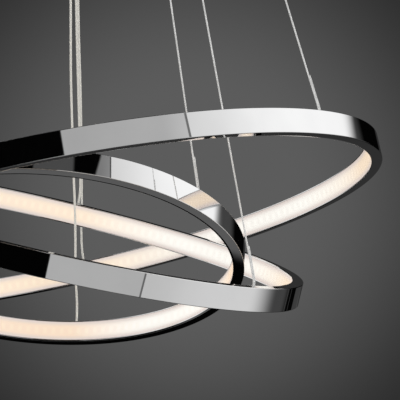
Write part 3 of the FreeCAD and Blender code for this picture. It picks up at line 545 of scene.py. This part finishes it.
def round_cutter(radius, half_slot, low, high):
    """An upright cutter: a round, or a slot along Y where half_slot is over 0."""
    cutter = bmesh.new()
    sides = 24
    bmesh.ops.create_circle(cutter, cap_ends=True, radius=radius, segments=sides)
    # Half a side round, so that no corner lies on the line where a slot is drawn apart
    bmesh.ops.rotate(cutter, verts=cutter.verts[:], matrix=Matrix.Rotation(math.pi / sides, 3, "Z"))
    for vert in cutter.verts:
        vert.co.y += math.copysign(half_slot, vert.co.y)
        vert.co.z = low
    lid = bmesh.ops.extrude_face_region(cutter, geom=cutter.faces[:])["geom"]
    bmesh.ops.translate(cutter, verts=[item for item in lid if isinstance(item, bmesh.types.BMVert)],
                        vec=(0, 0, high - low))
    bmesh.ops.recalc_face_normals(cutter, faces=cutter.faces[:])
    return cutter


def joined(shapes):
    """Several bmeshes as one."""
    whole = bmesh.new()
    for shape in shapes:
        mesh = bpy.data.meshes.new("part")
        shape.to_mesh(mesh)
        shape.free()
        whole.from_mesh(mesh)
        bpy.data.meshes.remove(mesh)
    return whole


def swung(shape, radius, turn):
    """A bmesh moved out along X, and then turned about Z."""
    bmesh.ops.translate(shape, verts=shape.verts[:], vec=(radius, 0, 0))
    bmesh.ops.rotate(shape, verts=shape.verts[:], matrix=Matrix.Rotation(math.radians(turn), 3, "Z"))
    return shape


def ring_section(ring):
    """A ring's U, in millimetres."""
    outside = RING_RADIUS[ring] / MM
    mouth = outside - PROFILE_WIDTH / MM
    lip = mouth + LIP_WIDTH
    back = outside - PROFILE_WALL / MM
    top = PROFILE_TOP / MM
    inside = top - PROFILE_WALL / MM
    return [(mouth, LIP_STEP - top, 0.3), (lip, -top - LIP_SWELL, 0.2), (outside, -top, 0.6),
            (outside, top, 0.6), (lip, top + LIP_SWELL, 0.2), (mouth, top - LIP_STEP, 0.3),
            (mouth, inside, 0.25), (back, inside, 0), (back, -inside, 0), (mouth, -inside, 0.25)]


for ring in RING_RADIUS:
    hanging = RING_RADIUS[ring] - HANG_INSET
    low, high = PROFILE_TOP - PROFILE_WALL - MM, PROFILE_TOP + MM
    cutters = [swung(round_cutter(CORD_HOLE_RADIUS, 0, low, high), hanging, CORD_TURN[ring])]
    for turn in (ROPE_TURN[ring], ROPE_TURN[ring] - ROPE_SPREAD):
        cutters.append(swung(round_cutter(ROPE_SLOT_RADIUS, ROPE_SLOT_HALF, low, high), hanging, turn))
    shape = cut_away(turned(ring_section(ring), RING_STEPS), joined(cutters))
    bmesh.ops.transform(shape, matrix=ring_place(ring), verts=shape.verts[:])

    finish, flow, place = new_finish(ring + "_ring_chrome")
    around, out, up = ring_space(flow, place, ring)
    # Lines from the drawing, slow waves from the rolling, and smears from hands
    drawn = flow.noise(flow.vector(around * 0.03, out, up), scale=900.0)
    wave = flow.noise(flow.vector(around, out * 0.2, up * 0.2), scale=14.0, detail=0.0)
    smear = flow.noise(place, scale=35.0, detail=4.0)
    surface(flow, {
        "Base Color": smear.rise(0.3, 0.75).blend((0.82, 0.82, 0.82, 1), (0.79, 0.79, 0.793, 1)),
        "Metallic": 1.0,
        "Roughness": 0.008 + 0.022 * drawn + 0.02 * smear.rise(0.55, 0.8),
        "Normal": flow.bump(wave, distance=0.00008),
    })
    finished_piece(ring + "_profile", shape, finish, ring + "_ring", "ring_chrome", ring + "_channel")


# ---- Light bands ----
# The opal acrylic strip that closes each U, 1.8 mm thick and a hair behind the lips. Warm white light comes
# through it, softly spotted by the chips behind, weaker towards its edges, and whiter over one stretch.

CHIP_PITCH = 25 / 3 * MM
# In millimetres: from the ring's outside in to the band's face, through it, and from its middle to its top
BAND_DEPTH, BAND_THICKNESS, BAND_TOP = 9.7, 1.8, 9.05
BAND_GLOW = {
    "outer": (0.66, 0.495, 0.325, 1),
    "middle": (0.66, 0.50, 0.335, 1),
    "inner": (0.64, 0.445, 0.275, 1),
}
WHITER_GLOW = (0.69, 0.665, 0.61, 1)
EDGE_GLOW = (0.42, 0.335, 0.30, 1)
# In degrees round the ring
WHITER_TURN = 47

for ring in RING_RADIUS:
    front = RING_RADIUS[ring] / MM - BAND_DEPTH
    back = front + BAND_THICKNESS
    shape = turned([(front, -BAND_TOP, 0.2), (back, -BAND_TOP, 0), (back, BAND_TOP, 0),
                    (front, BAND_TOP, 0.2)], RING_STEPS)
    bmesh.ops.transform(shape, matrix=ring_place(ring), verts=shape.verts[:])
    finish, flow, place = new_finish(ring + "_opal")
    around, out, up = ring_space(flow, place, ring)
    from_middle = flow.math("ABSOLUTE", up)
    edge = from_middle.rise(3.5 * MM, 9.3 * MM)
    spot = flow.math("COSINE", around * (2 * math.pi / CHIP_PITCH)).rise(-0.6, 1.0)
    spot = spot * from_middle.fall(1.0 * MM, 4.5 * MM)
    glow = flow.noise(place, scale=18.0, detail=1.0)
    # 0 or less 37 degrees from the whitest place, and 1 at 11 degrees
    angle = around * (1 / RING_RADIUS[ring]) - math.radians(WHITER_TURN)
    whiter = (flow.math("COSINE", angle) - 0.80) * (1 / 0.18)
    warm = whiter.blend(BAND_GLOW[ring], WHITER_GLOW)
    tint = edge.blend(warm, EDGE_GLOW)
    level = (1.02 - 0.08 * glow) * (0.95 + 0.10 * spot)
    shade = flow.node("ShaderNodeMix", {"data_type": "RGBA", "blend_type": "MULTIPLY"},
                      {0: 1.0, 6: tint, 7: level.grey()}, out=2)
    surface(flow, {
        "Base Color": glow.blend((0.38, 0.375, 0.37, 1), (0.42, 0.415, 0.41, 1)),
        "Roughness": 0.32 + 0.1 * glow,
        "Emission Color": shade,
        "Emission Strength": 1.0,
    })
    finished_piece(ring + "_light_band", shape, finish, ring + "_ring", "opal", ring + "_diffuser")


# ---- Light strips ----
# Behind each band a flexible white board is stuck to the outer wall, with two yellow chips to each spot of
# the band.

def dress(node, finish):
    """Gives a CAD node's object a finish in place of the one that it came with."""
    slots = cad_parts[node].material_slots
    if slots:
        for slot in slots:
            slot.material = finish
    else:
        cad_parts[node].data.materials.append(finish)


for ring in RING_RADIUS:
    finish, flow, place = new_finish(ring + "_light_strip")
    around, out, up = ring_space(flow, place, ring)
    along = flow.math("ABSOLUTE", flow.math("PINGPONG", around, CHIP_PITCH / 2) - CHIP_PITCH / 4)
    # A chip is 1.3 mm long and 2.9 mm high
    chip = along.rise(0.70 * MM, 0.64 * MM) * flow.math("ABSOLUTE", up).rise(1.50 * MM, 1.42 * MM)
    board = flow.noise(place, scale=300.0).blend((0.80, 0.80, 0.78, 1), (0.86, 0.86, 0.84, 1))
    surface(flow, {
        "Base Color": chip.blend(board, (0.86, 0.66, 0.10, 1)),
        "Roughness": 0.5 - 0.2 * chip,
    })
    dress(ring + "_led_strip", finish)


# ---- Splice plates, rope clamps and their screws ----
# Inside each ring a galvanised plate ties its rolled ends, and two bored brass blocks, each with a steel
# grub screw, hold the ropes.

zinc_finish, flow, place = new_finish("zinc_steel")
spangle = flow.node("ShaderNodeTexVoronoi", {}, {"Vector": place, "Scale": 190.0}, out="Color")
cloud = flow.noise(place, scale=26.0, detail=4.0)
surface(flow, {
    "Base Color": cloud.blend((0.58, 0.60, 0.62, 1), (0.72, 0.73, 0.72, 1)),
    "Metallic": 1.0,
    "Roughness": 0.30 + 0.14 * cloud + 0.06 * flow.node("ShaderNodeSeparateColor", {}, {"Color": spangle}),
    "Normal": flow.bump(flow.noise(place, scale=700.0), distance=0.00001),
})

screw_finish, flow, place = new_finish("screw_steel")
wear = flow.noise(place, scale=400.0, detail=3.0)
surface(flow, {
    "Base Color": wear.blend((0.60, 0.59, 0.56, 1), (0.74, 0.73, 0.70, 1)),
    "Metallic": 1.0,
    "Roughness": 0.18 + 0.16 * wear,
    "Normal": flow.bump(wear, distance=0.00001),
})

brass_finish, flow, place = new_finish("brass")
tarnish = flow.noise(place, scale=240.0, detail=4.0)
surface(flow, {
    "Base Color": tarnish.rise(0.3, 0.75).blend((0.78, 0.60, 0.28, 1), (0.52, 0.37, 0.15, 1)),
    "Metallic": 1.0,
    "Roughness": 0.22 + 0.22 * tarnish,
})

for ring in RING_RADIUS:
    dress(ring + "_splice_plate", zinc_finish)
    dress(ring + "_rope_clamps", brass_finish)
    dress(ring + "_clamp_screws", screw_finish)


# ---- Cord bushings ----
# A clear flanged grommet is pressed into each ring's top wall, so that the cord doesn't rub on the metal.

bushing_finish, flow, place = new_finish("clear_bushing")
moulded = flow.noise(place, scale=600.0)
surface(flow, {
    "Base Color": moulded.blend((0.88, 0.90, 0.90, 1), (0.96, 0.97, 0.97, 1)),
    "Roughness": 0.12 + 0.12 * moulded,
    "IOR": 1.47,
    "Transmission Weight": 0.8,
})

# In millimetres: the radius of its bore, of its neck and of its collar, and the collar's height
BORE, NECK, COLLAR, COLLAR_HEIGHT = 1.1, 2.1, 3.1, 0.8
wall_top, wall_bottom = PROFILE_TOP / MM, (PROFILE_TOP - PROFILE_WALL) / MM

for ring in RING_RADIUS:
    shape = turned([
        (BORE, wall_bottom, 0), (NECK, wall_bottom, 0), (NECK, wall_top, 0), (COLLAR, wall_top, 0),
        (COLLAR, wall_top + COLLAR_HEIGHT, 0.4), (BORE, wall_top + COLLAR_HEIGHT, 0.15)], steps=48)
    swing = Matrix.Rotation(math.radians(CORD_TURN[ring]), 4, "Z")
    bmesh.ops.transform(shape, verts=shape.verts[:], matrix=(
        ring_place(ring) @ swing @ Matrix.Translation((RING_RADIUS[ring] - HANG_INSET, 0, 0))))
    finished_piece(ring + "_grommet", shape, bushing_finish, ring + "_ring", "clear_bushing",
                   ring + "_cord_bushing")


# ---- Canopy cover ----
# A cup spun from 1.2 mm steel, 220 mm across and 45 deep, polished and chrome plated. Fine rings from the
# spinning and the polishing mop run round it.

# In millimetres, with the gap that it leaves below the ceiling
CANOPY_RADIUS, CANOPY_DEPTH, CANOPY_WALL, CANOPY_GAP = 110, 45, 1.2, 0.3

canopy_finish, flow, place = new_finish("canopy_chrome")
x, y, z = flow.axes(place)
out = flow.math("SQRT", x * x + y * y)
spun = flow.noise(flow.vector(out, 0.0, z), scale=1300.0, detail=1.0)
haze = flow.noise(place, scale=28.0, detail=4.0)
surface(flow, {
    "Base Color": haze.blend((0.79, 0.79, 0.793, 1), (0.82, 0.82, 0.82, 1)),
    "Metallic": 1.0,
    "Roughness": 0.03 + 0.05 * spun + 0.03 * haze,
    "Normal": flow.bump(spun, distance=0.0000006),
})
inside, floor_top = CANOPY_RADIUS - CANOPY_WALL, CANOPY_WALL - CANOPY_DEPTH
canopy_section = [
    (0, -CANOPY_DEPTH, 0), (CANOPY_RADIUS, -CANOPY_DEPTH, 4), (CANOPY_RADIUS, -CANOPY_GAP, 0.3),
    (inside, -CANOPY_GAP, 0.3), (inside, floor_top, 2.8), (0, floor_top, 0)]
finished_piece("canopy_cup", turned(canopy_section, steps=256), canopy_finish, "canopy", "canopy_chrome",
               "canopy_cover")


# ---- Ceiling plate, nuts and inner screws ----
# The pressed zinc-plated plate screwed to the ceiling, with a tab for each side screw, and the plated nuts
# and screws inside the canopy.

for node in ("ceiling_plate", "gland_nuts", "gripper_nuts"):
    dress(node, zinc_finish)
for node in ("driver_screws", "earth_screw"):
    dress(node, screw_finish)


# ---- Side screws ----
# Three pan-head screws with a cross recess go through the cover's side into the plate's tabs.

# In millimetres: radius and length of the shank and of the head, and the recess as length, width and height
SHANK_RADIUS, SHANK_LENGTH, HEAD_RADIUS, HEAD_HEIGHT = 1.95, 5.7, 4, 2.4
RECESS_SIZE, RECESS_MIDDLE = (4.2, 0.9, 2.2), 2.2
BELOW_CEILING = 10
SCREW_TURNS = (20, 140, 260)


def side_screw(azimuth):
    """A screw in the cover's side."""
    screw = turned([(0, -SHANK_LENGTH, 0), (SHANK_RADIUS, -SHANK_LENGTH, 0.4), (SHANK_RADIUS, 0, 0),
                    (HEAD_RADIUS, 0, 0), (HEAD_RADIUS, HEAD_HEIGHT, 0.9), (0, HEAD_HEIGHT, 0)], steps=48)
    for turn in (0, 90):
        wing = bmesh.new()
        bmesh.ops.create_cube(wing, size=1)
        bmesh.ops.transform(wing, verts=wing.verts[:], matrix=(
            Matrix.Rotation(math.radians(turn), 4, "Z") @ Matrix.Translation((0, 0, RECESS_MIDDLE * MM))
            @ Matrix.Diagonal((*(size * MM for size in RECESS_SIZE), 1))))
        screw = cut_away(screw, wing)
    bmesh.ops.transform(screw, verts=screw.verts[:], matrix=(
        Matrix.Rotation(math.radians(azimuth), 4, "Z")
        @ Matrix.Translation((CANOPY_RADIUS * MM, 0, -BELOW_CEILING * MM))
        @ Matrix.Rotation(math.pi / 2, 4, "Y")))
    return screw


finished_piece("side_screws", joined([side_screw(azimuth) for azimuth in SCREW_TURNS]), screw_finish,
               "canopy", "screw_steel", "cover_screws")


# ---- Rope grippers ----
# Turned and chromed brass: a body under the cover for each rope, a nose screwed into it, and the sprung
# sleeve that lets the rope run when it is pushed up. Fine grooves are turned in them.

def at_places(corners, steps, places):
    """A turned piece at each place under the canopy."""
    copies = []
    for x, y in places:
        shape = turned(corners, steps)
        bmesh.ops.translate(shape, verts=shape.verts[:], vec=(x, y, 0))
        copies.append(shape)
    return joined(copies)


# Two grooves run round the body, and two round the end of the sleeve, where the fingers push it
BODY_SECTION = [
    (0.95, -48, 0), (3.1, -48, 0), (3.1, -57, 0), (4.7, -57, 0.15), (4.7, -55.6, 0.1), (4.45, -55.45, 0),
    (4.45, -55.15, 0), (4.7, -55, 0.1), (4.7, -54.4, 0.1), (4.45, -54.25, 0), (4.45, -53.95, 0),
    (4.7, -53.8, 0.1), (4.7, -45, 0.5), (3, -45, 0), (3, -37.8, 0.4), (0.95, -37.8, 0)]
NOSE_SECTION = [(2.23, -61, 0.1), (3.1, -61, 0.3), (4.7, -58.33, 0.3), (4.7, -57, 0.1), (2.23, -57, 0)]
SLEEVE_SECTION = [
    (0.95, -65.5, 0.2), (2.15, -65.5, 0.4), (2.15, -64.75, 0.05), (1.95, -64.6, 0), (1.95, -64.35, 0),
    (2.15, -64.2, 0.05), (2.15, -63.8, 0.05), (1.95, -63.65, 0), (1.95, -63.4, 0), (2.15, -63.25, 0.05),
    (2.15, -56.9, 0), (2.85, -56.9, 0.1), (2.85, -55.4, 0.1), (0.95, -55.4, 0)]

for name, corners, node in (("rope_gripper_bodies", BODY_SECTION, "gripper_bodies"),
                            ("rope_gripper_noses", NOSE_SECTION, "gripper_noses")):
    finished_piece(name, at_places(corners, 64, ROPE_GRIP.values()), canopy_finish, "canopy",
                   "canopy_chrome", node)
for (ring, side), grip in ROPE_GRIP.items():
    finished_piece(ring + "_push_sleeve_" + side, at_places(SLEEVE_SECTION, 48, [grip]), canopy_finish,
                   ring + "_release_" + side, "canopy_chrome", ring + "_release_sleeve_" + side)

# Each sleeve's spring stands between its collar and the end of the body's chamber
SPRING_WIRE = 0.5 * MM
SPRING_RADIUS = 2.8 * MM
SPRING_LOW, SPRING_HIGH = -55.4 * MM, -48 * MM
SPRING_TURNS, STEPS_IN_TURN = 7, 24
spring_finish, flow, place = new_finish("spring_steel")
drawn = flow.noise(place, scale=900.0)
surface(flow, {
    "Base Color": drawn.blend((0.42, 0.41, 0.40, 1), (0.56, 0.55, 0.53, 1)),
    "Metallic": 1.0,
    "Roughness": 0.26 + 0.12 * drawn,
    "Normal": flow.bump(drawn, distance=0.00001),
})
pitch = (SPRING_HIGH - SPRING_LOW - SPRING_WIRE) / SPRING_TURNS
for (ring, side), (x, y) in ROPE_GRIP.items():
    axis = [Vector((x, y, SPRING_LOW + SPRING_WIRE / 2)), Vector((x, y, SPRING_HIGH - SPRING_WIRE / 2))]
    spring = laid_strands(ring + "_coil_spring_" + side, axis, pitch / STEPS_IN_TURN, pitch, 1,
                          SPRING_RADIUS - SPRING_WIRE / 2, SPRING_WIRE / 2)
    spring.data.materials.append(spring_finish)
    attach(spring, "canopy")
    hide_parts(ring + "_sleeve_spring_" + side)
    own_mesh(spring)


# ---- Cord glands ----
# Three round chromed glands, ribbed for the fingers, each squeezing a clear cord where it leaves the canopy.

GLAND_PLACE = [route[0][:2] for route in CORD_ROUTE.values()]
GLAND_RADIUS = 4.2
GLAND_STEPS = 72
# The ribbed part lies between two rows of the section, and every third step is drawn in by this share
RIB_LOW, RIB_HIGH = -50.8, -46.2
RIB_DEPTH = 0.07
shape = at_places([
    (1.1, -53, 0.1), (GLAND_RADIUS, -53, 1.5), (GLAND_RADIUS, RIB_LOW, 0), (GLAND_RADIUS, RIB_HIGH, 0),
    (GLAND_RADIUS, -45, 0.2), (3, -45, 0), (3, -37.8, 0.4), (1.1, -37.8, 0)], GLAND_STEPS, GLAND_PLACE)
for x, y in GLAND_PLACE:
    for vert in shape.verts:
        away = Vector((vert.co.x - x, vert.co.y - y))
        turn = round(math.degrees(math.atan2(away.y, away.x)) * GLAND_STEPS / 360)
        on_rib = (RIB_LOW - 0.2) * MM < vert.co.z < (RIB_HIGH + 0.2) * MM and turn % 3 == 0
        if on_rib and abs(away.length - GLAND_RADIUS * MM) < 1e-5:
            vert.co.x -= away.x * RIB_DEPTH
            vert.co.y -= away.y * RIB_DEPTH
finished_piece("cord_gland_bodies", shape, canopy_finish, "canopy", "canopy_chrome", "cord_glands")


# ---- Driver ----
# A moulded white polycarbonate case with its lid, lightly textured, and the green board with its parts.

case_finish, flow, place = new_finish("white_plastic")
texture = flow.noise(place, scale=1500.0, detail=2.0)
surface(flow, {
    "Base Color": flow.noise(place, scale=20.0).blend((0.72, 0.72, 0.70, 1), (0.78, 0.78, 0.76, 1)),
    "Roughness": 0.42 + 0.12 * texture,
    "Normal": flow.bump(texture, distance=0.00004),
})
dress("driver_case", case_finish)
dress("driver_lid", case_finish)

# The board's upper face, above which its black parts stand
BOARD_FACE = -16.99 * MM
board_finish, flow, place = new_finish("board")
x, y, z = flow.axes(place)
track = flow.node("ShaderNodeTexVoronoi", {"feature": "DISTANCE_TO_EDGE"}, {"Vector": place, "Scale": 170.0})
green = track.rise(0.06, 0.09).blend((0.10, 0.30, 0.12, 1), (0.02, 0.13, 0.05, 1))
surface(flow, {
    "Base Color": z.rise(BOARD_FACE, BOARD_FACE + 0.09 * MM).blend(green, (0.05, 0.05, 0.055, 1)),
    "Roughness": 0.35 + 0.2 * flow.noise(place, scale=400.0),
})
dress("driver_board", board_finish)


# ---- Terminal block ----
# A three-pole block of ivory nylon with brass clamping screws.

terminal_finish, flow, place = new_finish("terminal_plastic")
nylon = flow.noise(place, scale=120.0, detail=3.0)
surface(flow, {
    "Base Color": nylon.blend((0.76, 0.72, 0.60, 1), (0.82, 0.79, 0.68, 1)),
    "Roughness": 0.36 + 0.16 * nylon,
    "Normal": flow.bump(flow.noise(place, scale=1400.0), distance=0.00003),
})
dress("terminal_block", terminal_finish)
dress("terminal_screws", brass_finish)


# ---- Studio ----
# A pale floor below, a dark backdrop with a painted pool of light behind the rings, and long soft boxes all
# round: a grey one and a white one to each side, with black between them for the chrome.

FLOOR_RADIUS, FLOOR_LEVEL = 18, -2.6
floor_shape = bmesh.new()
bmesh.ops.create_circle(floor_shape, cap_ends=True, radius=FLOOR_RADIUS, segments=96)
bmesh.ops.translate(floor_shape, verts=floor_shape.verts[:], vec=(0, 0, FLOOR_LEVEL))
floor = as_object("floor", floor_shape)
floor.visible_glossy = False
floor_finish, flow, place = new_finish("pale_floor")
screed = flow.node("ShaderNodeBsdfDiffuse", {}, {"Color": (0.72, 0.72, 0.71, 1)})
nothing = flow.node("ShaderNodeBsdfTransparent", {}, {})
from_below = flow.node("ShaderNodeNewGeometry", {}, {}, out="Backfacing")
flow.node("ShaderNodeOutputMaterial", {}, {
    "Surface": flow.node("ShaderNodeMixShader", {}, {0: from_below, 1: screed, 2: nothing})})
floor.data.materials.append(floor_finish)

world = bpy.data.worlds.new("studio")
scene.world = world
world.use_nodes = True
world.node_tree.nodes.clear()
flow = Flow(world.node_tree)
x, y, z = flow.axes(flow.node("ShaderNodeTexCoord", {}, {}, out="Generated"))

# Seen by the camera: a painted pool of light, lighter in the middle of the picture
PAINTED_POOL_GREY, MARGIN_GREY = (0.107, 0.107, 0.107, 1), (0.024, 0.024, 0.024, 1)
across, up = x + 0.004, z - 0.0075
off_middle = flow.math("SQRT", across * across + up * up)
backdrop = off_middle.rise(0.04, 0.135).blend(PAINTED_POOL_GREY, MARGIN_GREY)

# Seen in the chrome: by the angle round from the camera's side, and by the height, both in degrees. To the
# left everything lies 15 degrees further round.
azimuth = flow.math("ARCTAN2", x, y * -1.0) * (180 / math.pi)
height = flow.math("ARCSINE", z) * (180 / math.pi)
turn = flow.math("MAXIMUM", azimuth, azimuth * -1.0 - 15.0)
high = height.rise(-18.0, 22.0)
# From 6 degrees on a grey box, as far as a seam that bends back above and below
seam = 55.3 - 0.0034 * (height - 28.0) * (height - 28.0)
past_seam = turn - seam
grey_level = 0.50 - 0.05 * high * turn.fall(10.0, 40.0) + 0.10 * turn.rise(44.0, 55.0) * high
grey_box = (turn - 0.12 * height).rise(6.2, 6.8) * (1.0 - 0.7 * past_seam.rise(-0.8, -0.5))
grey_box = grey_box * past_seam.fall(0, 0.3) * grey_level
grey_box = grey_box * (1.0 - 0.55 * height.rise(36.0, 47.5)) * height.fall(47.9, 48.5)
# From the seam on a white box, which reaches 20 degrees further round in its upper part
white_side = turn - 20.0 * height.rise(9.0, 15.0)
white_level = 0.60 + 0.15 * turn.rise(48.0, 85.0) + high * (0.18 + 0.20 * turn.rise(55.0, 105.0))
white_box = past_seam.rise(0.1, 0.4) * white_side.fall(108.0, 131.0) * white_level
# A dim wall beyond it, faint low strips, and a dim patch behind the rings
far_wall = white_side.rise(108.0, 131.0) * turn.fall(137.0, 146.0) * 0.06
far_strips = height.fall(-5.0, -4.0) * height.rise(-16.0, -14.0) * (
    turn.rise(154.0, 155.0) * 0.05 + turn.rise(142.8, 143.2) * turn.fall(143.5, 143.9) * 0.05
    + turn.rise(147.0, 147.3) * turn.fall(147.6, 147.9) * 0.04)
behind = turn.rise(164.0, 168.0) * height.fall(20.0, 30.0) * 0.03
walls = (grey_box + white_box + far_wall + far_strips + behind) * height.fall(56.0, 62.0)
walls = walls * height.rise(-34.0, -28.0)
# A belt far down, a small panel high up, and a dim floor on the camera's side
below = height.fall(-53.7, -53.1) * height.rise(-64.0, -61.0) * 0.115
above = height.rise(48.5, 49.5) * azimuth.rise(-7.0, -5.0) * azimuth.fall(26.0, 29.0) * 0.075
low_front = height.fall(-34.0, -28.0) * turn.fall(110.0, 140.0) * 0.07
level = walls + below + above + low_front + 0.001

# Seen by the matt pieces: an even grey
ROOM_GREY = (0.60, 0.60, 0.60, 1)
straight, through, glossy = [flow.node("ShaderNodeLightPath", {}, {}, out="Is " + kind + " Ray")
                             for kind in ("Camera", "Transmission", "Glossy")]
seen = flow.math("MAXIMUM", straight, through)
sky = seen.blend(glossy.blend(ROOM_GREY, level.grey()), backdrop)
flow.node("ShaderNodeOutputWorld", {}, {"Surface": flow.node("ShaderNodeBackground", {}, {"Color": sky})})


def soft_box(name, place, aim, size, power):
    """A square area lamp that the chrome doesn't see."""
    lamp = bpy.data.lights.new(name, "AREA")
    lamp.size = size
    lamp.energy = power
    lit = bpy.data.objects.new(name, lamp)
    scene.collection.objects.link(lit)
    lit.location = place
    lit.rotation_euler = (Vector(aim) - Vector(place)).to_track_quat("-Z", "Y").to_euler()
    lit.visible_glossy = False


soft_box("key_light", place=(2.4, -2.2, 0.9), aim=(0, 0, -0.7), size=1.6, power=60)
soft_box("fill_light", place=(-2.8, -1.6, 0.2), aim=(0, 0, -0.7), size=2.0, power=30)
soft_box("back_light", place=(-0.6, 2.6, 0.8), aim=(0, 0, -0.6), size=1.6, power=40)


# ---- View transform ----

scene.view_settings.view_transform = "Standard"
